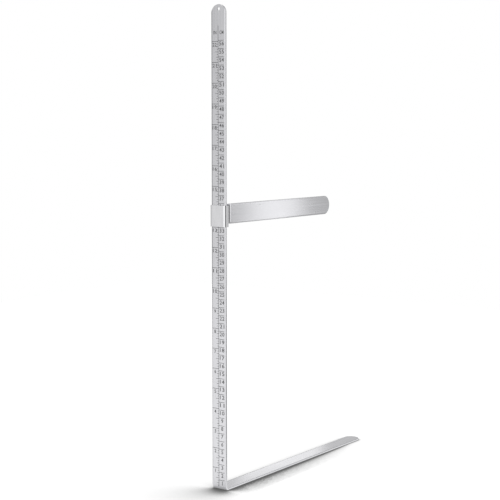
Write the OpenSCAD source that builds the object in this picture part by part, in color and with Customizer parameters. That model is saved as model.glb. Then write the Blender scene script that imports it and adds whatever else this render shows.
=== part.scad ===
// Caliper for measuring how thick a patient is before an x-ray is taken.
// One flat aluminium strip stands upright as the graduated beam. Its lower end is bent back
// and lies flat as the fixed jaw, which the caliper also stands on. A folded sheet sleeve
// slides on the beam and carries the moving jaw, a second strip riveted to its back.
// The beam stands along Z with its scale facing -Y. Both jaws reach towards +Y.

/* [Strip] */
// Width of the strip that is the beam and the fixed jaw
strip_w = 22; // [22:0.5:40]
// Width of the strip that is the moving jaw
jaw_w = 25; // [20:0.5:40]
// Thickness of both strips
strip_t = 2; // [1.5:0.1:4]
// Inside radius of each bend in the strip
bend_r = 2; // [1:0.5:6]
// Radius on the strip's long edges
edge_r = 0.3; // [0.1:0.05:0.6]

/* [Beam] */
// Height of the beam, from the underside of its foot to its round top
beam_h = 606; // [300:1:1000]
// Reach of the fixed jaw, from the beam's front face to its tip
fixed_reach = 330; // [150:1:400]
// Diameter of the hanging hole
hang_d = 4.2; // [3:0.1:8]
// Distance from the beam's top to the middle of the hanging hole
hang_drop = 5.5; // [5:0.1:20]

/* [Scale] */
// Height of the blank end of the beam above the last graduation
scale_margin = 43; // [40:0.5:80]
// Height of the blank end above the line that parts the two scales
divide_margin = 26; // [20:0.5:60]
// Place of the dividing line across the beam, from its middle
divide_x = -0.6; // [-2:0.1:2]
// Width of an engraved line
line_w = 0.55; // [0.2:0.05:0.8]
// Depth of an engraved line
line_d = 0.15; // [0.05:0.01:0.3]
// Length of a centimetre graduation
cm_len = 8.6; // [4:0.1:9]
// Length of a half inch graduation
half_len = 4.4; // [3.5:0.1:7]
// Length of a quarter inch graduation
quarter_len = 3; // [2.6:0.1:3.4]
// Length of an eighth inch graduation
eighth_len = 2; // [1:0.1:2.5]

/* [Sleeve] */
// Height of the sleeve
sleeve_h = 26.6; // [18:0.1:60]
// Thickness of the sleeve's sheet
sleeve_t = 1.2; // [0.8:0.1:2]
// Gap between the sleeve and the beam at the front and the sides
slide_gap = 0.3; // [0.2:0.05:0.8]
// Gap between the sheet's two edges, where they meet behind the beam
seam_gap = 0.6; // [0.2:0.1:2]

/* [Moving jaw] */
// Distance between the two jaws as the caliper stands
opening = 335; // [10:0.5:550]
// Reach of the moving jaw, from the beam's front face to its tip
moving_reach = 236; // [100:1:300]
// Height of the jaw's lower edge above the sleeve's lower edge
jaw_rise = 4; // [0:0.1:8]
// Distance from the end of the jaw's foot, behind the sleeve, to the sleeve's far side
foot_inset = 2; // [1:0.5:3]

/* [Rivets] */
// Diameter of a rivet's shank
rivet_d = 3.2; // [2:0.1:4]
// Distance from the start of the jaw's bend to the middle of the nearer rivet
rivet_margin = 3; // [2.9:0.1:3.4]
// Diameter of the domed head outside the foot
dome_d = 5.6; // [4.8:0.1:5.8]
// Height of the domed head
dome_h = 1.2; // [0.6:0.1:2]
// Diameter of the flat head inside the sleeve
inner_head_d = 4.6; // [4.2:0.1:4.8]
// Height of the flat head
inner_head_h = 0.7; // [0.4:0.05:0.8]

/* [Friction spring] */
// Width of the leaf spring
spring_w = 5.5; // [3:0.5:5.5]
// Thickness of the leaf spring
spring_t = 0.3; // [0.2:0.05:0.4]
// Height of the spring's bow
spring_bow = 1; // [0.8:0.05:1.5]
// Gap between the spring's crest and the beam
crest_gap = 0.3; // [0.2:0.05:0.5]

/* [Hidden] */

// Graduations of the two scales, counted from the fixed jaw's upper face
cm = 10;
inch = 25.4;
inch_parts = 8;
scale_h = beam_h - strip_t - scale_margin;
cm_count = floor(scale_h / cm);
inch_count = floor(scale_h / inch);

// The whole model is set with its foot centred on the origin
bend_out = bend_r + strip_t;
sleeve_front = -slide_gap - sleeve_t;
middle_y = (fixed_reach + sleeve_front) / 2;

// The sleeve's folded section: its bends keep an even gap to the beam's edges
back_room = crest_gap + spring_t + spring_bow;
sleeve_half_w = strip_w / 2 + slide_gap + sleeve_t;
sleeve_back = strip_t + back_room + sleeve_t;
fold_in = edge_r + slide_gap;
fold_out = fold_in + sleeve_t;

// Heights of the slider's pieces on the beam
jaw_z = strip_t + opening;
sleeve_z = jaw_z - jaw_rise;
grip_z = (jaw_z + min(jaw_z + jaw_w, sleeve_z + sleeve_h)) / 2;

// The jaw's blade is flush with the sleeve's side, and its foot starts where the bend ends
foot_x = sleeve_half_w - bend_out;
foot_len = foot_x + sleeve_half_w - foot_inset;
rivet_x = foot_x - rivet_margin;
rivet_fit = 0.02;

// The spring's back face is an arc through its two ends, which touch the sleeve's back wall
spring_r = (pow(sleeve_h / 2, 2) + pow(spring_bow, 2)) / (2 * spring_bow);
lip_gap = 0.2;
lip_len = sleeve_t - lip_gap;

overcut = 1;
$fn = 96;

// Cross section of a strip, with its edges rounded: width along X, thickness from 0 up
module strip_section(width) {
    translate([-width / 2 + edge_r, 0])
        square([width - 2 * edge_r, strip_t]);
    translate([-width / 2, edge_r])
        square([width, strip_t - 2 * edge_r]);
    for (x = [-1, 1], y = [edge_r, strip_t - edge_r])
        translate([x * (width / 2 - edge_r), y])
            circle(r = edge_r, $fn = 24);
}

// A straight run of strip along Z, thickness along Y, with a full round far end
module strip_run(width, length) {
    intersection() {
        linear_extrude(length)
            strip_section(width);
        translate([0, strip_t + overcut, 0])
            rotate([90, 0, 0])
                linear_extrude(strip_t + 2 * overcut)
                    round_end_outline(width, length);
    }
}

module round_end_outline(width, length) {
    translate([-width / 2, -overcut])
        square([width, length - width / 2 + overcut]);
    translate([0, length - width / 2])
        circle(d = width);
}

// A quarter turn of strip about Z, from -Y round to +X
module strip_bend(width) {
    rotate([0, 0, -90])
        rotate_extrude(angle = 90)
            translate([bend_r, 0])
                rotate([0, 0, 90])
                    mirror([0, 1])
                        strip_section(width);
}

// Graduated beam and fixed jaw, bent from one strip
module beam() {
    color("lightgray")
        to_frame()
            difference() {
                union() {
                    translate([0, 0, bend_out])
                        strip_run(strip_w, beam_h - bend_out);
                    translate([0, bend_out, bend_out])
                        rotate([0, 90, 0])
                            strip_bend(strip_w);
                    translate([0, bend_out, strip_t])
                        rotate([-90, 0, 0])
                            strip_run(strip_w, fixed_reach - bend_out);
                }
                hanging_hole();
                graduations();
            }
}

module hanging_hole() {
    translate([0, strip_t + overcut, beam_h - hang_drop])
        rotate([90, 0, 0])
            cylinder(d = hang_d, h = strip_t + 2 * overcut);
}

// Engraved lines: centimetres right of the dividing line, inches and their eighths left of it
module graduations() {
    divide_h = beam_h - divide_margin - bend_out;
    engraved_line(divide_x - line_w / 2, line_w, bend_out + divide_h / 2, divide_h);
    for (i = [1 : cm_count])
        engraved_line(divide_x, cm_len, strip_t + i * cm, line_w);
    for (i = [1 : inch_count * inch_parts])
        engraved_line(divide_x - inch_len(i), inch_len(i), strip_t + i * inch / inch_parts, line_w);
}

// Length of the line at a count of eighths: a full inch runs out over the beam's left edge
function inch_len(i) =
    i % inch_parts == 0 ? strip_w / 2 + divide_x + overcut :
    i % (inch_parts / 2) == 0 ? half_len :
    i % (inch_parts / 4) == 0 ? quarter_len :
    eighth_len;

module engraved_line(x, length, z, height) {
    translate([x, -overcut, z - height / 2])
        cube([length, overcut + line_d, height]);
}

// Sheet folded round the beam, with its two edges meeting at the middle of the back
module slider_sleeve() {
    color("gainsboro")
        to_frame()
            difference() {
                translate([0, 0, sleeve_z])
                    linear_extrude(sleeve_h)
                        sleeve_section();
                rivet_holes();
            }
}

module sleeve_section() {
    difference() {
        fold_outline(sleeve_half_w, sleeve_front, sleeve_back, fold_out);
        fold_outline(sleeve_half_w - sleeve_t, -slide_gap, sleeve_back - sleeve_t, fold_in);
        translate([-seam_gap / 2, strip_t])
            square([seam_gap, back_room + sleeve_t + overcut]);
    }
}

// A rectangle from front to back with its four corners rounded
module fold_outline(half_w, front, back, r) {
    translate([-half_w + r, front])
        square([2 * (half_w - r), back - front]);
    translate([-half_w, front + r])
        square([2 * half_w, back - front - 2 * r]);
    for (x = [-1, 1], y = [front + r, back - r])
        translate([x * (half_w - r), y])
            circle(r = r, $fn = 48);
}

// Strip whose root is bent square into a foot behind the sleeve
module moving_jaw() {
    color("silver")
        to_frame()
            difference() {
                translate([0, 0, jaw_z + jaw_w / 2]) {
                    translate([foot_x, sleeve_back, 0])
                        rotate([0, -90, 0])
                            linear_extrude(foot_len)
                                strip_section(jaw_w);
                    translate([foot_x, sleeve_back + bend_out, 0])
                        strip_bend(jaw_w);
                    translate([sleeve_half_w - strip_t, sleeve_back + bend_out, 0])
                        rotate([0, -90, 0])
                            rotate([-90, 0, 0])
                                strip_run(jaw_w, moving_reach - sleeve_back - bend_out);
                }
                rivet_holes();
            }
}

// Holes through the sleeve's back and the jaw's foot
module rivet_holes() {
    at_rivets()
        translate([0, 0, -back_room / 2])
            cylinder(d = rivet_d, h = sleeve_t + strip_t + back_room, $fn = 48);
}

// Places its children at both rivets, with Z along the rivet and zero at the sleeve's inner face
module at_rivets() {
    for (side = [-1, 1])
        translate([side * rivet_x, sleeve_back - sleeve_t, grip_z])
            rotate([-90, 0, 0])
                children();
}

// Two rivets, one on each side of the seam
module jaw_rivets() {
    color("darkgray")
        to_frame()
            at_rivets()
                rivet();
}

module rivet() {
    grip = sleeve_t + strip_t;
    translate([0, 0, -inner_head_h])
        cylinder(d = inner_head_d, h = inner_head_h, $fn = 48);
    translate([0, 0, -inner_head_h / 2])
        cylinder(d = rivet_d - 2 * rivet_fit, h = grip + inner_head_h, $fn = 48);
    translate([0, 0, grip])
        dome();
}

// A cap of a sphere, cut flat where it lies on the foot
module dome() {
    cap_r = (pow(dome_d / 2, 2) + pow(dome_h, 2)) / (2 * dome_h);
    intersection() {
        translate([0, 0, dome_h - cap_r])
            sphere(r = cap_r, $fn = 64);
        cylinder(d = dome_d + overcut, h = dome_h + overcut, $fn = 48);
    }
}

// Leaf spring bowed towards the beam, held by a lip over each end of the sleeve's back wall
module friction_spring() {
    color("dimgray")
        to_frame()
            translate([-spring_w / 2, sleeve_back - sleeve_t, sleeve_z + sleeve_h / 2])
                rotate([90, 0, 90])
                    linear_extrude(spring_w)
                        spring_section();
}

// The spring seen from the side: X is the distance behind the sleeve's inner face, Y the height
module spring_section() {
    half_h = sleeve_h / 2;
    intersection() {
        translate([spring_r - spring_bow, 0])
            difference() {
                circle(r = spring_r + spring_t, $fn = 360);
                circle(r = spring_r, $fn = 360);
            }
        translate([-spring_bow - 2 * spring_t, -half_h])
            square([spring_bow + 2 * spring_t, sleeve_h]);
    }
    for (side = [-1, 1])
        translate([-spring_t, side * (half_h + spring_t / 2) - spring_t / 2])
            square([spring_t + lip_len, spring_t]);
}

// Moves the model from the beam's front face to the frame that it is handed over in
module to_frame() {
    translate([0, -middle_y, 0])
        children();
}

beam();
slider_sleeve();
moving_jaw();
jaw_rivets();
friction_spring();
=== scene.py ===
# %% [markdown]
# An x-ray measuring caliper, dressed for its portrait. The caliper is bent from flat aluminium strip:
# a tall beam with two engraved scales, a fixed jaw folded out of the same strip, and a slider whose jaw
# is riveted behind a sheet sleeve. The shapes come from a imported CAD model, which stays as it is. This
# lesson gives the metal its finish, fills the engraving with paint, numbers the scales, and lights it
# all.

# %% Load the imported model
import math
import bpy
import bmesh
from mathutils import Matrix, Vector


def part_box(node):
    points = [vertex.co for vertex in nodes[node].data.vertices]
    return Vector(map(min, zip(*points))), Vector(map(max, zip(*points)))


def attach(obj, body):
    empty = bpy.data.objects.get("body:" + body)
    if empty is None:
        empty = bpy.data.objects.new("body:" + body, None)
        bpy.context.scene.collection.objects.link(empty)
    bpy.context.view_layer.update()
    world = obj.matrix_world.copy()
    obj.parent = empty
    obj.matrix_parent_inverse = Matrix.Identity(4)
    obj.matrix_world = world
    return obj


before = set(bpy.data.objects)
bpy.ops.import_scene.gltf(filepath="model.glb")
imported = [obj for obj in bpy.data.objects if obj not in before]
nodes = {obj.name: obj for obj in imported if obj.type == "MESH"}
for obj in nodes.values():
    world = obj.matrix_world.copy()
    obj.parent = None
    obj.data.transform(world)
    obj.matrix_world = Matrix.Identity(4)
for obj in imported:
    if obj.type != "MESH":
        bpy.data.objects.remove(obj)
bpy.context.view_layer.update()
print("pieces of the model:", sorted(nodes))

# %% [markdown]
# Every length on the drawing of the caliper is in millimetres, and Blender works in metres. One short
# function turns the one into the other, so that the sizes below can be read beside a ruler. The model's
# own boxes say where the beam's front face is, how high the moving jaw hangs, and so on.

# %% Sizes in millimetres, and the places that the model gives
MM = 0.001


def mm(*lengths):
    """Millimetres turned to metres, as one number or as a vector."""
    metres = [length * MM for length in lengths]
    return metres[0] if len(metres) == 1 else Vector(metres)


beam_low, beam_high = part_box("beam")
jaw_low, jaw_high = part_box("moving_jaw")
_, sleeve_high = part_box("slider_sleeve")
face_y = beam_low.y
top_z = beam_high.z
half_strip = beam_high.x
half_sleeve = sleeve_high.x
jaw_mid_z = (jaw_low.z + jaw_high.z) / 2
half_jaw = (jaw_high.z - jaw_low.z) / 2
strip_t = mm(2)
print(f"beam {2 * half_strip / MM:.1f} mm wide and {top_z / MM:.1f} mm high")
print(f"moving jaw {2 * half_jaw / MM:.1f} mm wide, {jaw_mid_z / MM:.1f} mm above the floor")

# %% [markdown]
# Colours are picked as sRGB hex values, as they look on a screen, but shaders add up light and need
# linear values. One function does the change for every colour in this file.

# %% Colours from hex


def linear(hex_colour):
    """An sRGB hex colour as the linear RGBA values that a shader socket takes."""
    digits = hex_colour.lstrip("#")
    shades = [int(digits[i : i + 2], 16) / 255 for i in (0, 2, 4)]
    bent = [s / 12.92 if s <= 0.04045 else ((s + 0.055) / 1.055) ** 2.4 for s in shades]
    return (*bent, 1.0)


print("mid grey in linear light:", round(linear("#808080")[0], 3))

# %% [markdown]
# A shader or a geometry tree is a list of nodes and links. Written out in full, each node takes four or
# five lines, which hides the idea. This helper makes a node, sets its settings and fills its inputs. A
# list fills the sockets in their order, which suits a sum, and a dictionary names or numbers them. A
# value that is another node is linked from that node's first output, a socket is linked as it is, and a
# number, a colour or a vector is typed in.

# %% Add a node


def add_node(tree, kind, inputs=(), **settings):
    """Makes one node. inputs lists its sockets' values in order, or maps sockets to their values."""
    made = tree.nodes.new(kind)
    for name, value in settings.items():
        setattr(made, name, value)
    wanted = inputs if isinstance(inputs, dict) else dict(enumerate(inputs))
    for name, value in wanted.items():
        source = value.outputs[0] if isinstance(value, bpy.types.Node) else value
        if isinstance(source, bpy.types.NodeSocket):
            tree.links.new(source, made.inputs[name])
        else:
            made.inputs[name].default_value = source
    return made


def empty_material(name):
    """A material with an empty node tree, and that tree."""
    material = bpy.data.materials.new(name)
    material.use_nodes = True
    material.node_tree.nodes.clear()
    return material, material.node_tree


print("ready to build node trees")

# %% [markdown]
# Rolled aluminium strip carries fine lines along its length, where the rolls dragged over it. They
# change the tone and the gloss a little, and they are tiny ridges too. A brushed picture could be laid
# on the strip, but a noise does it without a file and at any size: it is squeezed across the strip and
# stretched along it. On the real strip the lines lie about a tenth of a millimetre apart, which no
# picture of the whole caliper can show, so they are drawn about a millimetre apart.
#
# Noise hovers round a half and hardly ever leaves the middle of its range. A Map Range node takes that
# middle, from NOISE_SPAN's first value to its second, to the two values that a surface should have.

# %% Noise with a real size
NOISE_SPAN = (0.3, 0.7)


def surface_noise(tree, spacings, detail, shift):
    """Noise on Object coordinates. Its features take so many millimetres along X, Y and Z."""
    mapping = {
        "Vector": add_node(tree, "ShaderNodeTexCoord").outputs["Object"],
        "Location": (shift, shift, shift),
        "Scale": tuple(1 / mm(spacing) for spacing in spacings),
    }
    mapped = add_node(tree, "ShaderNodeMapping", mapping)
    noise = {"Vector": mapped, "Scale": 1.0, "Detail": detail, "Roughness": 0.6}
    return add_node(tree, "ShaderNodeTexNoise", noise)


print("a spacing of one millimetre is a scale of", round(1 / mm(1)), "in the Mapping node")

# %% [markdown]
# No strip is quite flat. Rolling and shearing leave its long edges turned down by a few tenths of a
# millimetre, and a folded sheet starts to turn before its fold. Nobody would measure this, but polished
# metal shows it at once, as a dark line along one edge and a bright one along the other. A bevel in the
# mesh could do it, but the model's shape stays as it is. So the height of the face is written as a
# formula of the distance from its middle line, and a Bump node tilts the light.

# %% The height of a face that rolls off at its edges


def rolled_off(tree, axis, middle, starts, stops, drop, crown):
    """Height in metres: a slight crown over the whole face, then edges that drop."""
    place = add_node(tree, "ShaderNodeTexCoord").outputs["Object"]
    across = add_node(tree, "ShaderNodeSeparateXYZ", [place]).outputs[axis]
    offset = add_node(tree, "ShaderNodeMath", [across, middle], operation="SUBTRACT")
    distance = add_node(tree, "ShaderNodeMath", [offset], operation="ABSOLUTE")
    share = add_node(tree, "ShaderNodeMath", [distance, starts], operation="DIVIDE")
    squared = add_node(tree, "ShaderNodeMath", [share, 2.0], operation="POWER")
    crowned = add_node(tree, "ShaderNodeMath", [squared, -crown], operation="MULTIPLY")
    fall = [distance, starts, stops, 0.0, -drop]
    edge = add_node(tree, "ShaderNodeMapRange", fall, interpolation_type="SMOOTHSTEP")
    return add_node(tree, "ShaderNodeMath", [crowned, edge], operation="ADD")


print("the height of a face is a formula of the place across it")

# %% [markdown]
# The finish of each metal piece is the same recipe with other numbers: a base colour whose tone follows
# the grain and some broad clouds, a gloss that follows the grain, sparse scuffs from handling, and the
# ridges and rolled edges as bump. Aluminium is a metal through and through, so Metallic is one, and its
# colour is the pale grey that it mirrors with. Its IOR stays as Blender has it, because a metal's
# reflection comes from its colour.

# %% A drawn metal
SCUFF_SPAN = (0.66, 0.74)
SCUFF_DARKENS = 0.05
SCUFF_DULLS = 0.1


def drawn_metal(name, colour, gloss, grain, clouds, scuffs, ridge, tone=0.04, drift=0.03, edges=None):
    """Metal with grain lines. gloss is its lowest and highest roughness, the patterns are spacings."""
    material, tree = empty_material(name)
    lines = surface_noise(tree, grain, detail=4.0, shift=3.0)
    cloudy = surface_noise(tree, clouds, detail=2.0, shift=11.0)
    marks = surface_noise(tree, scuffs, detail=3.0, shift=29.0)
    scuffed = add_node(tree, "ShaderNodeMapRange", [marks, *SCUFF_SPAN, 0.0, 1.0])
    lined = add_node(tree, "ShaderNodeMapRange", [lines, *NOISE_SPAN, 1 - tone, 1 + tone])
    clouded = add_node(tree, "ShaderNodeMapRange", [cloudy, *NOISE_SPAN, 1 - drift, 1 + drift])
    clean = add_node(tree, "ShaderNodeMath", [lined, clouded], operation="MULTIPLY")
    darkened = add_node(tree, "ShaderNodeMath", [scuffed, SCUFF_DARKENS], operation="MULTIPLY")
    worn = add_node(tree, "ShaderNodeMath", [clean, darkened], operation="SUBTRACT")
    tinted = add_node(tree, "ShaderNodeHueSaturation", {"Value": worn, "Color": linear(colour)})
    polished = add_node(tree, "ShaderNodeMapRange", [lines, *NOISE_SPAN, *gloss])
    dulled = add_node(tree, "ShaderNodeMath", [scuffed, SCUFF_DULLS], operation="MULTIPLY")
    rough = add_node(tree, "ShaderNodeMath", [polished, dulled], operation="ADD")
    height = add_node(tree, "ShaderNodeMath", [lines, ridge], operation="MULTIPLY")
    if edges:
        height = add_node(tree, "ShaderNodeMath", [height, rolled_off(tree, **edges)], operation="ADD")
    relief = add_node(tree, "ShaderNodeBump", {"Height": height, "Strength": 1.0, "Distance": 1.0})
    finish = {"Base Color": tinted, "Metallic": 1.0, "Roughness": rough, "Normal": relief}
    shader = add_node(tree, "ShaderNodeBsdfPrincipled", finish)
    add_node(tree, "ShaderNodeOutputMaterial", {"Surface": shader})
    print(material.name, "has", len(tree.nodes), "nodes")
    return material


# %% [markdown]
# The beam and the moving jaw are rolled aluminium strip, left as it came off the rolls. That gives the
# eye a satin grey with fine lines along the strip, so the grain is short across it and long along it.
# The beam stands upright and its foot lies flat, and X is across both, so one pattern serves the two.
# The jaw is a strip on edge, whose width runs along Z, and it mirrors a little more sharply.

# %% Rolled strip
RIDGE = mm(0.007)
ROLL_STARTS = mm(1.8)
ROLL_PASSES = mm(0.4)
ROLL_DROP = mm(0.35)
beam_metal = drawn_metal(
    "rolled_aluminium_beam",
    "#DCDCDF",
    gloss=(0.24, 0.32),
    grain=(1.1, 90, 90),
    clouds=(30, 70, 70),
    scuffs=(1.5, 9, 9),
    ridge=RIDGE,
    edges={
        "axis": "X",
        "middle": 0.0,
        "starts": half_strip - ROLL_STARTS,
        "stops": half_strip + ROLL_PASSES,
        "drop": ROLL_DROP,
        "crown": mm(0.03),
    },
)
jaw_metal = drawn_metal(
    "rolled_aluminium_jaw",
    "#DCDCDF",
    gloss=(0.20, 0.26),
    grain=(90, 90, 1.1),
    clouds=(70, 70, 30),
    scuffs=(9, 9, 1.5),
    ridge=RIDGE / 2,
    edges={
        "axis": "Z",
        "middle": jaw_mid_z,
        "starts": half_jaw - ROLL_STARTS,
        "stops": half_jaw + ROLL_PASSES,
        "drop": ROLL_DROP,
        "crown": mm(0.02),
    },
)

# %% [markdown]
# The sleeve is folded from smooth aluminium sheet, which mirrors more sharply than strip and has hardly
# any grain, so it looks the brightest of all. Its face is crowned, with a roll that starts well before
# the fold. The crown's middle is set two millimetres left of the sleeve's, which puts the bright and
# the dark part of its face where the real one shows them.

# %% Folded sheet
sleeve_metal = drawn_metal(
    "folded_aluminium_sheet",
    "#E3E3E5",
    gloss=(0.11, 0.15),
    grain=(1.3, 1.3, 60),
    clouds=(9, 9, 40),
    scuffs=(4, 4, 1.2),
    ridge=RIDGE / 3,
    tone=0.02,
    edges={
        "axis": "X",
        "middle": mm(-2),
        "starts": half_sleeve - mm(2.5),
        "stops": half_sleeve + mm(2),
        "drop": mm(0.6),
        "crown": mm(0.25),
    },
)

# %% [markdown]
# The rivets are aluminium too, but their heads were pressed into shape, so their pattern is alike in
# all directions and they look plain and satin. The spring is hard rolled steel, which is darker and a
# little blue, and its fine grain runs along the leaf.

# %% Rivets and spring
rivet_metal = drawn_metal(
    "headed_aluminium_rivet",
    "#CFCFD2",
    gloss=(0.24, 0.32),
    grain=(0.6, 0.6, 0.6),
    clouds=(3, 3, 3),
    scuffs=(1, 1, 1),
    ridge=RIDGE / 2,
)
spring_metal = drawn_metal(
    "hard_rolled_spring_steel",
    "#8F9093",
    gloss=(0.24, 0.34),
    grain=(0.5, 20, 20),
    clouds=(6, 12, 12),
    scuffs=(1, 6, 6),
    ridge=RIDGE / 2,
)

# %% [markdown]
# The model's pieces keep their shape and only trade their plain material for the finished one.

# %% Dress the pieces of the model
finishes = {
    "beam": beam_metal,
    "slider_sleeve": sleeve_metal,
    "moving_jaw": jaw_metal,
    "jaw_rivets": rivet_metal,
    "friction_spring": spring_metal,
}
for node_name, material in finishes.items():
    slots = nodes[node_name].data.materials
    slots.clear()
    slots.append(material)
    print(node_name, "wears", material.name)

# %% [markdown]
# The engraving is wiped full of dark paint, which dries matt and a little below the face. It is a
# pigment in a binder, so it has no metal in it, it is rough, and its tone wanders slightly. The long
# lines are cut deep and hold a full coat. The numerals and the short lines are shallow, so that the
# metal shines through the thin coat in them, and their paint is a paler grey.

# %% Paint
PATCH = (0.8, 0.8, 0.8)
PAINT_TONES = (0.85, 1.15)
PAINT_ROUGHNESS = (0.55, 0.75)


def engraving_paint(name, colour):
    """Matt paint of one grey, whose tone and gloss wander from patch to patch."""
    material, tree = empty_material(name)
    patches = surface_noise(tree, PATCH, detail=3.0, shift=5.0)
    tones = add_node(tree, "ShaderNodeMapRange", [patches, *NOISE_SPAN, *PAINT_TONES])
    tinted = add_node(tree, "ShaderNodeHueSaturation", {"Value": tones, "Color": linear(colour)})
    rough = add_node(tree, "ShaderNodeMapRange", [patches, *NOISE_SPAN, *PAINT_ROUGHNESS])
    shader = add_node(tree, "ShaderNodeBsdfPrincipled", {"Base Color": tinted, "Roughness": rough})
    add_node(tree, "ShaderNodeOutputMaterial", {"Surface": shader})
    return material


full_paint = engraving_paint("engraving_paint_full", "#4A4A4C")
thin_paint = engraving_paint("engraving_paint_thin", "#747476")
print("paints:", full_paint.name, "and", thin_paint.name)

# %% [markdown]
# A scale is one line repeated at an even step, which is what Geometry Nodes do best. A loop in the
# script could place the lines too, but a tree keeps the idea in one place and is quick. It lays points
# along a straight run, puts a thin block on each, and ends in Realize Instances and Set Material. The
# same tree draws the centimetres, the inches and their halves, quarters and eighths: only its inputs
# change. Each block lies in its engraved groove, a hair clear of the groove's walls.

# %% The tree that rules a scale


def add_input(tree, name, kind):
    """Adds a named input to a geometry tree and returns the identifier that a modifier knows it by."""
    return tree.interface.new_socket(name=name, in_out="INPUT", socket_type=kind).identifier


def ruling_tree():
    """Lines of one size at an even step. Returns the tree and its inputs' identifiers."""
    tree = bpy.data.node_groups.new("ruled_lines", "GeometryNodeTree")
    keys = {
        "Count": add_input(tree, "Count", "NodeSocketInt"),
        "First": add_input(tree, "First", "NodeSocketVector"),
        "Step": add_input(tree, "Step", "NodeSocketVector"),
        "Size": add_input(tree, "Size", "NodeSocketVector"),
        "Paint": add_input(tree, "Paint", "NodeSocketMaterial"),
    }
    tree.interface.new_socket(name="Lines", in_out="OUTPUT", socket_type="NodeSocketGeometry")
    given = add_node(tree, "NodeGroupInput").outputs
    run = {"Count": given["Count"], "Start Location": given["First"], "Offset": given["Step"]}
    points = add_node(tree, "GeometryNodeMeshLine", run, mode="OFFSET")
    block = add_node(tree, "GeometryNodeMeshCube", {"Size": given["Size"]})
    placed = add_node(tree, "GeometryNodeInstanceOnPoints", {"Points": points, "Instance": block})
    solid = add_node(tree, "GeometryNodeRealizeInstances", {"Geometry": placed})
    coat = {"Geometry": solid, "Material": given["Paint"]}
    painted = add_node(tree, "GeometryNodeSetMaterial", coat)
    add_node(tree, "NodeGroupOutput", {"Lines": painted})
    return tree, keys


rulings, ruling_keys = ruling_tree()
print("inputs of the ruling tree:", list(ruling_keys))

# %% [markdown]
# A modifier gives the tree its sizes, and the evaluated result is copied into a plain mesh, because a
# mesh travels to any other program and a node tree doesn't. Then the modifier goes.

# %% Rule one run of lines


def ruled(name, count, first, step, size, paint):
    """A plain mesh object with count lines, made by the ruling tree."""
    holder = bpy.data.objects.new(name, bpy.data.meshes.new(name + "_seed"))
    bpy.context.scene.collection.objects.link(holder)
    modifier = holder.modifiers.new("ruling", "NODES")
    modifier.node_group = rulings
    values = {"Count": count, "First": first, "Step": step, "Size": size, "Paint": paint}
    for key, value in values.items():
        modifier[ruling_keys[key]] = tuple(value) if isinstance(value, Vector) else value
    depsgraph = bpy.context.evaluated_depsgraph_get()
    plain = bpy.data.meshes.new_from_object(holder.evaluated_get(depsgraph))
    plain.name = name
    holder.modifiers.clear()
    holder.data = plain
    return holder


print("ready to rule")

# %% [markdown]
# The caliper reads the opening between its jaws, so both scales start at the fixed jaw's upper face. The
# centimetres stand right of a dividing line, and the inches stand left of it. The grooves are the
# model's, and the paint takes their sizes, less a hair on every side.

# %% Sizes of the engraving
CM = 10.0
INCH = 25.4
zero_z = strip_t
divide_x = mm(-0.6)
line_w = mm(0.55)
groove_depth = mm(0.15)
paint_below_face = mm(0.03)
wall_clear = mm(0.01)
edge_round = mm(0.3)
cm_count = 56
inch_count = 22
cm_len = mm(8.6)
inch_len = half_strip + divide_x - edge_round
inch_fraction_len = {2: mm(4.4), 4: mm(3.0), 8: mm(2.0)}
divide_low = mm(4)
divide_margin = mm(26)
divide_top = top_z - divide_margin

paint_depth = groove_depth - paint_below_face - wall_clear
paint_y = face_y + paint_below_face + paint_depth / 2
paint_width = line_w - 2 * wall_clear
print(f"a coat {paint_depth / MM:.2f} mm deep in a line {line_w / MM:.2f} mm wide")

# %% [markdown]
# Each run is one call of the ruling tree: the centimetres, the inches, the dividing line, and then the
# halves, quarters and eighths of the inches. A fraction's first line stands at that fraction of an
# inch, and its lines are two fractions apart, so that no line is drawn on top of a longer one.

# %% Rule both scales
BLOCK_FACES = 6


def ruled_beside(name, count, first_mm, step_mm, length, side, paint=full_paint):
    """Lines that run from the dividing line to one side: 1 is right and -1 is left."""
    first = Vector((divide_x + side * length / 2, paint_y, zero_z + mm(first_mm)))
    size = Vector((length - 2 * wall_clear, paint_depth, paint_width))
    return ruled(name, count, first, mm(0, 0, step_mm), size, paint)


divide_size = Vector((paint_width, paint_depth, divide_top - divide_low - 2 * wall_clear))
divide_middle = Vector((divide_x, paint_y, (divide_top + divide_low) / 2))
scale_lines = [
    ruled_beside("cm_lines", cm_count, CM, CM, cm_len, 1),
    ruled_beside("inch_lines", inch_count, INCH, INCH, inch_len, -1),
    ruled("dividing_line", 1, divide_middle, mm(0, 0, 1), divide_size, full_paint),
]
for parts, length in inch_fraction_len.items():
    first_mm = INCH / parts
    count = inch_count * parts // 2
    name = f"inch_{parts}th_lines"
    lines = ruled_beside(name, count, first_mm, 2 * first_mm, length, -1, thin_paint)
    scale_lines.append(lines)
for lines in scale_lines:
    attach(lines, "frame")
    print(lines.name, "has", len(lines.data.polygons) // BLOCK_FACES, "lines")

# %% [markdown]
# The numerals are stamped just below their lines. Each stroke could be modelled by hand, but a text
# object is the easy way to a clean glyph. It is turned into a mesh while it still lies flat at the
# origin, measured there, brought to its real height and width, and only then stood up on the beam's
# face. Text grows to both sides when it is extruded, so half of one makes it one thick, and the scale
# then makes that its real thickness. A small offset of the outline gives the strokes the weight of a
# stamp.

# %% One mark
glyph_thickness = mm(0.03)
glyph_proud = mm(0.015)
stroke_weight = 0.018
letter_gap = 1.1
outline_steps = 3
half_of_one = 0.5


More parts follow.
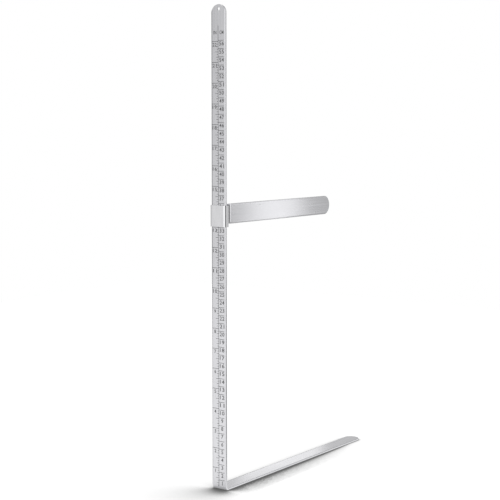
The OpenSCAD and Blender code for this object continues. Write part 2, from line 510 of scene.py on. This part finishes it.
def glyph_mesh(text, height, width):
    """Flat text as a mesh, lower middle at the origin, in the XZ plane and facing -Y."""
    curve = bpy.data.curves.new("glyph", "FONT")
    curve.body = text
    curve.resolution_u = outline_steps
    curve.extrude = half_of_one
    curve.offset = stroke_weight
    curve.space_character = letter_gap
    holder = bpy.data.objects.new("glyph", curve)
    bpy.context.scene.collection.objects.link(holder)
    depsgraph = bpy.context.evaluated_depsgraph_get()
    mesh = bpy.data.meshes.new_from_object(holder.evaluated_get(depsgraph))
    bpy.data.objects.remove(holder)
    xs = [v.co.x for v in mesh.vertices]
    ys = [v.co.y for v in mesh.vertices]
    tall = height / (max(ys) - min(ys))
    wide = width / (max(xs) - min(xs)) if width else tall
    centred = Matrix.Translation((-(min(xs) + max(xs)) / 2, -min(ys), 0))
    scaled = Matrix.Diagonal((wide, tall, glyph_thickness, 1))
    stood = Matrix.Rotation(math.radians(90), 4, "X")
    mesh.transform(stood @ scaled @ centred)
    return mesh


stamp_y = face_y - glyph_proud + glyph_thickness / 2
print(f"the marks are {glyph_thickness / MM:.2f} mm thick, half of it in the face")

# %% [markdown]
# All the numerals of one scale become one mesh, because they are one paint job and never move apart. A
# single digit keeps its own proportions. A pair of digits is drawn to one width, as a stamp's are. The
# last two marks, above the scales, give the units.

# %% Numerals and unit marks


def stamped(name, glyphs):
    """One piece of all the glyphs, each given as text, place, height and width."""
    made = bmesh.new()
    for text, place, height, width in glyphs:
        glyph = glyph_mesh(text, height, width)
        glyph.transform(Matrix.Translation(place))
        made.from_mesh(glyph)
        bpy.data.meshes.remove(glyph)
    mesh = bpy.data.meshes.new(name)
    made.to_mesh(mesh)
    made.free()
    mesh.materials.clear()
    mesh.materials.append(thin_paint)
    piece = bpy.data.objects.new(name, mesh)
    bpy.context.scene.collection.objects.link(piece)
    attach(piece, "frame")
    print(name, "has", len(glyphs), "marks and", len(mesh.polygons), "faces")


def numbered(name, count, step_mm, middle, drop, height, pair_width):
    """Stamps the numerals of one scale round its middle, each one drop below its line."""
    glyphs = []
    for i in range(1, count + 1):
        text = str(i)
        place = Vector((middle, stamp_y, zero_z + mm(step_mm * i) - drop - height))
        width = pair_width if len(text) > 1 else None
        glyphs.append((text, place, height, width))
    stamped(name, glyphs)


cm_numerals = {"middle": mm(4.65), "drop": mm(1.2), "height": mm(5.1), "pair_width": mm(7.15)}
inch_numerals = {"middle": mm(-6.1), "drop": mm(1.6), "height": mm(4.5), "pair_width": mm(6.4)}
numbered("cm_numerals", cm_count, CM, **cm_numerals)
numbered("inch_numerals", inch_count, INCH, **inch_numerals)

unit_h = mm(4.4)
above_last_line = mm(7.6)
unit_z = zero_z + mm(CM * cm_count) + above_last_line
unit_spans = {"IN": (mm(-5.4), mm(4.6)), "CM": (mm(4.6), mm(6.0))}
unit_marks = []
for text, (middle, width) in unit_spans.items():
    unit_marks.append((text, Vector((middle, stamp_y, unit_z)), unit_h, width))
stamped("unit_marks", unit_marks)

# %% [markdown]
# The camera stands to the right of the scale and a little above its middle, and looks slightly down, so
# that both jaws run away from it to the right. Its angles, its distance and its lens are what lines up
# the graduations, the edges of the strip and both tips. It comes before the lamps, because a lamp that
# should show in a flat of metal has to stand where the camera's line of sight goes after its bounce.

# %% Camera
AZIMUTH = 35.83
PITCH = 5.06
DISTANCE = 1.5728
FOCAL_PX = 1265.9
PICTURE_PX = 500
CENTRE_PX = (250.0, 240.0)
SENSOR_MM = 36.0
aim_right = mm(38.66)
aim_z = mm(316.5)


def from_angles(azimuth, elevation):
    """A direction by its compass angle, 0 towards -Y and 90 towards +X, and its height."""
    a, e = math.radians(azimuth), math.radians(elevation)
    return Vector((math.sin(a) * math.cos(e), -math.cos(a) * math.cos(e), math.sin(e)))


back = from_angles(AZIMUTH, PITCH)
right = from_angles(AZIMUTH + 90, 0)
up = back.cross(right)
aim = Vector((aim_right * right.x, aim_right * right.y + face_y, aim_z))
eye = aim + back * DISTANCE
lens = bpy.data.cameras.new("camera")
lens.sensor_width = SENSOR_MM
lens.lens = FOCAL_PX / PICTURE_PX * SENSOR_MM
lens.shift_x = (PICTURE_PX / 2 - CENTRE_PX[0]) / PICTURE_PX
lens.shift_y = (CENTRE_PX[1] - PICTURE_PX / 2) / PICTURE_PX
camera = bpy.data.objects.new("camera", lens)
turned = Matrix((right, up, back)).transposed().to_4x4()
camera.matrix_world = Matrix.Translation(eye) @ turned
bpy.context.scene.collection.objects.link(camera)
bpy.context.scene.camera = camera
print(f"camera: {lens.lens:.1f} mm lens at", [round(c, 3) for c in eye])

# %% [markdown]
# Bare metal has no colour of its own to speak of: it shows the room. So the room matters as much as the
# metal. Real boards round the object would show in the other views, so they are drawn into the world
# instead, where only mirrors see them. Each board is the compass angle of its middle, how far it
# reaches to either side at full strength, where its soft edge ends, and how much light it adds to the
# wall or takes from it. The bright one just left of the front and the bright one on the right edge the
# sleeve's fold, and the dark ones give the metal its depth. The two low boards fade out a few degrees
# above the horizon, so a lying flat that is looked down on, such as the upper side of the fixed jaw,
# mirrors the plain wall.

# %% Boards in the room
boards = {
    "dark on the left": {"azimuth": -80, "full": 16, "soft": 38, "adds": -0.3},
    "bright in front": {"azimuth": -9, "full": 10, "soft": 22, "adds": 0.58},
    "bright on the right": {"azimuth": 108, "full": 9, "soft": 18, "adds": 0.6},
    "grey behind": {"azimuth": 176, "full": 20, "soft": 32, "adds": -0.1},
    "low and bright": {"azimuth": -36, "full": 4, "soft": 24, "adds": 0.22, "fades": (-3, 7)},
    "low and dark": {"azimuth": 42, "full": 30, "soft": 42, "adds": -0.48, "fades": (3, 9)},
}


def sine(degrees):
    """The sine of an angle in degrees, which is the height of a direction at that elevation."""
    return math.sin(math.radians(degrees))


def cosine(degrees):
    """The cosine of an angle in degrees."""
    return math.cos(math.radians(degrees))


def board_light(tree, level, height, azimuth, full, soft, adds, fades=None):
    """What one board adds to the wall, for a direction given by its level part and its height."""
    towards = tuple(from_angles(azimuth, 0))
    along = add_node(tree, "ShaderNodeVectorMath", [level, towards], operation="DOT_PRODUCT")
    edge = [along.outputs["Value"], cosine(soft), cosine(full), 0.0, adds]
    added = add_node(tree, "ShaderNodeMapRange", edge, interpolation_type="SMOOTHSTEP")
    if fades is None:
        return added
    fade = [height, sine(fades[0]), sine(fades[1]), 1.0, 0.0]
    kept = add_node(tree, "ShaderNodeMapRange", fade, interpolation_type="SMOOTHSTEP")
    return add_node(tree, "ShaderNodeMath", [added, kept], operation="MULTIPLY")


print("boards:", ", ".join(boards))

# %% [markdown]
# The world answers each kind of ray in its own way. The camera sees plain white, and so would a look
# through glass. Mirrors see the pale wall with its boards, which turns into a darker ceiling above
# about thirty degrees. All other rays get an even light, which fills the shadows.

# %% World
WALL = 0.62
CEILING = 0.3
CEILING_SPAN = (0.5, 0.75)
AMBIENT = 0.6


def studio_world():
    """White for the camera, a room for mirrors, and an even light for all other rays."""
    world = bpy.data.worlds.new("studio")
    world.use_nodes = True
    tree = world.node_tree
    tree.nodes.clear()
    direction = add_node(tree, "ShaderNodeTexCoord").outputs["Generated"]
    height = add_node(tree, "ShaderNodeSeparateXYZ", [direction]).outputs["Z"]
    level = add_node(tree, "ShaderNodeVectorMath", [direction, (1, 1, 0)], operation="MULTIPLY")
    level = add_node(tree, "ShaderNodeVectorMath", [level], operation="NORMALIZE")
    rise = [height, *CEILING_SPAN, WALL, CEILING]
    room = add_node(tree, "ShaderNodeMapRange", rise, interpolation_type="SMOOTHSTEP")
    for board in boards.values():
        added = board_light(tree, level, height, **board)
        room = add_node(tree, "ShaderNodeMath", [room, added], operation="ADD")
    ray = add_node(tree, "ShaderNodeLightPath").outputs
    mirrored = ray["Is Glossy Ray"]
    clear = [ray["Is Camera Ray"], ray["Is Transmission Ray"]]
    white = add_node(tree, "ShaderNodeMath", clear, operation="MAXIMUM")
    for_mirrors = add_node(tree, "ShaderNodeMath", [mirrored, room], operation="MULTIPLY")
    answered = add_node(tree, "ShaderNodeMath", [white, mirrored], operation="MAXIMUM")
    others = add_node(tree, "ShaderNodeMath", [1.0, answered], operation="SUBTRACT")
    for_others = add_node(tree, "ShaderNodeMath", [others, AMBIENT], operation="MULTIPLY")
    light = add_node(tree, "ShaderNodeMath", [for_mirrors, for_others], operation="ADD")
    light = add_node(tree, "ShaderNodeMath", [white, light], operation="ADD")
    shine = add_node(tree, "ShaderNodeBackground", {"Color": (1, 1, 1, 1), "Strength": light})
    add_node(tree, "ShaderNodeOutputWorld", {"Surface": shine})
    return world


bpy.context.scene.world = studio_world()
print("world: white for the camera, a room for mirrors")

# %% [markdown]
# The dark line where a flat strip meets the floor is narrower than a pixel. Lamps alone would leave it
# out, so Ambient Occlusion widens it to what an eye sees. It asks how much of the sky a spot of floor
# sees, and raises that share to a power, its depth, to make the shade darker. The camera sees two such
# shades, and the normal of each leans, so that it falls to one side: one lies beside the fixed jaw and
# one before the foot. The jaw's swells from the corner on, between two places along Y, and fades again
# between two more towards the tip.

# %% The shade that the camera sees
LEAST_SHADE = 0.12
AO_RAYS = 24
jaw_shade = {"reach": mm(33), "lean": (-1.0, 0.0, 0.5)}
foot_shade = {"reach": mm(130), "lean": (0.6, 1.2, 0.9)}
foot_depth = 2.4
corner_depth = 4.3
deepest = 15.6
tip_depth = 1.4
swells_at = (mm(-163), mm(-121))
fades_at = (mm(-100), mm(130))


def open_share(tree, depth, reach, lean):
    """How much of the sky a spot of floor sees, looking along a leaning normal, made deeper."""
    normal = add_node(tree, "ShaderNodeCombineXYZ", list(Vector(lean).normalized()))
    near = {"Distance": reach, "Normal": normal}
    seen = add_node(tree, "ShaderNodeAmbientOcclusion", near, samples=AO_RAYS).outputs["AO"]
    return add_node(tree, "ShaderNodeMath", [seen, depth], operation="POWER")


def camera_shade(tree, place, at_foot):
    """How light the floor is: the share beside the jaw times the share at the foot."""
    swell = [place["Y"], *swells_at, corner_depth, deepest]
    swelling = add_node(tree, "ShaderNodeMapRange", swell, interpolation_type="SMOOTHSTEP")
    fading = add_node(tree, "ShaderNodeMapRange", [place["Y"], *fades_at, deepest, tip_depth])
    depth = add_node(tree, "ShaderNodeMath", [swelling, fading], operation="MINIMUM")
    at_jaw = [open_share(tree, depth, **jaw_shade), 0.0, 1.0, 0.0, 1.0]
    at_jaw = add_node(tree, "ShaderNodeMapRange", at_jaw, interpolation_type="SMOOTHSTEP")
    both = add_node(tree, "ShaderNodeMath", [at_jaw, at_foot], operation="MULTIPLY")
    return add_node(tree, "ShaderNodeMapRange", [both, 0.0, 1.0, LEAST_SHADE, 1.0])


print(f"the fixed jaw's shade is deepest {(swells_at[1] - face_y) / MM:.0f} mm behind the beam's face")

# %% [markdown]
# The metal mirrors another floor. It is bright to the left of the front, where the beam's face mirrors
# it to the camera, and darker all round from there, as it would be with dark boards lying on it. Close
# to the caliper's own plane, under the jaw, it stays bright. The foot's shade is there at half strength.

# %% The shade that mirrors see
side_span = (mm(20), mm(80))
turn_span = (math.radians(20), math.radians(40))
SIDE_DARKENS = 0.6
MIRRORED_FOOT = 0.5


def mirror_shade(tree, place, at_foot):
    """How light the floor is in the metal, by the bearing from the foot and the distance aside."""
    off_middle = add_node(tree, "ShaderNodeMath", [place["X"]], operation="ABSOLUTE")
    aside = add_node(tree, "ShaderNodeMapRange", [off_middle, *side_span, 0.0, 1.0])
    in_front = add_node(tree, "ShaderNodeMath", [face_y, place["Y"]], operation="SUBTRACT")
    bearing = add_node(tree, "ShaderNodeMath", [place["X"], in_front], operation="ARCTAN2")
    turn = add_node(tree, "ShaderNodeMath", [bearing, math.radians(AZIMUTH)], operation="ADD")
    turn = add_node(tree, "ShaderNodeMath", [turn], operation="ABSOLUTE")
    by_turn = add_node(tree, "ShaderNodeMapRange", [turn, *turn_span, 0.0, SIDE_DARKENS])
    darkness = add_node(tree, "ShaderNodeMath", [aside, by_turn], operation="MULTIPLY")
    open_floor = add_node(tree, "ShaderNodeMath", [1.0, darkness], operation="SUBTRACT")
    faint_foot = add_node(tree, "ShaderNodeMapRange", [at_foot, 0.0, 1.0, MIRRORED_FOOT, 1.0])
    return add_node(tree, "ShaderNodeMath", [open_floor, faint_foot], operation="MULTIPLY")


print("mirrors see the floor darker by", SIDE_DARKENS, "at its sides")

# %% [markdown]
# The floor is plain white paper, which is matt and mirrors nothing. A lit white floor never quite
# reaches the white of the page, so for the camera, mirrors and glass most of its white is its own
# glow, and the rest is paper that the lamps light, which keeps the soft shadows. More light on the
# object would do it too, but would burn out the metal. All other rays meet the plain paper.

# %% Floor
FLOOR_HALF = 1.5
GLOW = 0.8
PAPER_SHARE = 0.35


def floor_material():
    """White paper, lifted for the camera and the mirrors to the white of the page."""
    material, tree = empty_material("studio_floor")
    ray = add_node(tree, "ShaderNodeLightPath").outputs
    paper = add_node(tree, "ShaderNodeBsdfDiffuse", {"Color": linear("#F0F0F0")})
    place = add_node(tree, "ShaderNodeTexCoord").outputs["Object"]
    place = add_node(tree, "ShaderNodeSeparateXYZ", [place]).outputs
    at_foot = open_share(tree, foot_depth, **foot_shade)
    direct = camera_shade(tree, place, at_foot)
    mirrored = mirror_shade(tree, place, at_foot)
    choice = {0: ray["Is Glossy Ray"], 2: direct, 3: mirrored}
    shade = add_node(tree, "ShaderNodeMix", choice, data_type="FLOAT")
    faint = add_node(tree, "ShaderNodeMath", [shade, PAPER_SHARE], operation="MULTIPLY")
    shaded = add_node(tree, "ShaderNodeBsdfDiffuse", {"Color": faint})
    glowing = add_node(tree, "ShaderNodeEmission", {"Color": shade, "Strength": GLOW})
    lifted = add_node(tree, "ShaderNodeAddShader", [shaded, glowing])
    seen = [ray["Is Camera Ray"], ray["Is Glossy Ray"]]
    seen = add_node(tree, "ShaderNodeMath", seen, operation="MAXIMUM")
    seen = add_node(tree, "ShaderNodeMath", [seen, ray["Is Transmission Ray"]], operation="MAXIMUM")
    mixed = add_node(tree, "ShaderNodeMixShader", [seen, paper, lifted])
    add_node(tree, "ShaderNodeOutputMaterial", {"Surface": mixed})
    return material


floor_mesh = bpy.data.meshes.new("floor")
corners = [(x * FLOOR_HALF, y * FLOOR_HALF, 0) for x, y in ((-1, -1), (1, -1), (1, 1), (-1, 1))]
floor_mesh.from_pydata(corners, [], [(0, 1, 2, 3)])
floor_mesh.materials.append(floor_material())
floor = bpy.data.objects.new("floor", floor_mesh)
bpy.context.scene.collection.objects.link(floor)
print("floor:", 2 * FLOOR_HALF, "m square")

# %% [markdown]
# Two small lamps stand just where the jaws mirror them to the camera, and give each jaw its bright
# middle. They could be moved about until they look right, but the law of reflection gives their place
# at once: the line from the eye to the metal bounces off the face, and the lamp is put at some distance
# along it. A large soft lamp overhead lights the floor and the upper sides.

# %% Lamps


def bounced(spot, normal, distance):
    """The point that the eye sees in a flat mirror at the spot, at a distance behind the bounce."""
    sight = (spot - eye).normalized()
    return spot + (sight - 2 * sight.dot(normal) * normal) * distance


def soft_lamp(name, place, target, width, height, watts):
    """A rectangular area lamp at place that faces target, unseen by the camera."""
    data = bpy.data.lights.new(name, "AREA")
    data.shape = "RECTANGLE"
    data.size = width
    data.size_y = height
    data.energy = watts
    lamp = bpy.data.objects.new(name, data)
    facing = (target - place).to_track_quat("-Z", "Y")
    lamp.matrix_world = Matrix.Translation(place) @ facing.to_matrix().to_4x4()
    lamp.visible_camera = False
    bpy.context.scene.collection.objects.link(lamp)
    print(name, "stands at", [round(c, 3) for c in place])


jaw_bright_at = mm(99)
foot_bright_at = mm(135)
jaw_spot = Vector((half_sleeve, face_y + jaw_bright_at, jaw_mid_z))
jaw_lamp_at = bounced(jaw_spot, normal=Vector((1, 0, 0)), distance=0.3)
soft_lamp("jaw_lamp", jaw_lamp_at, jaw_spot, width=0.08, height=0.2, watts=0.035)
foot_spot = Vector((0, face_y + foot_bright_at, strip_t))
foot_lamp_at = bounced(foot_spot, normal=Vector((0, 0, 1)), distance=0.4)
soft_lamp("foot_lamp", foot_lamp_at, foot_spot, width=0.14, height=0.095, watts=0.0255)
ceiling_lamp_at = Vector((-0.9, 0.6, 1.9))
soft_lamp("ceiling_lamp", ceiling_lamp_at, aim, width=1.4, height=1.4, watts=14)

# %% [markdown]
# The colours are shown as they are, without a film look.

# %% Finish
bpy.context.scene.view_settings.view_transform = "Standard"
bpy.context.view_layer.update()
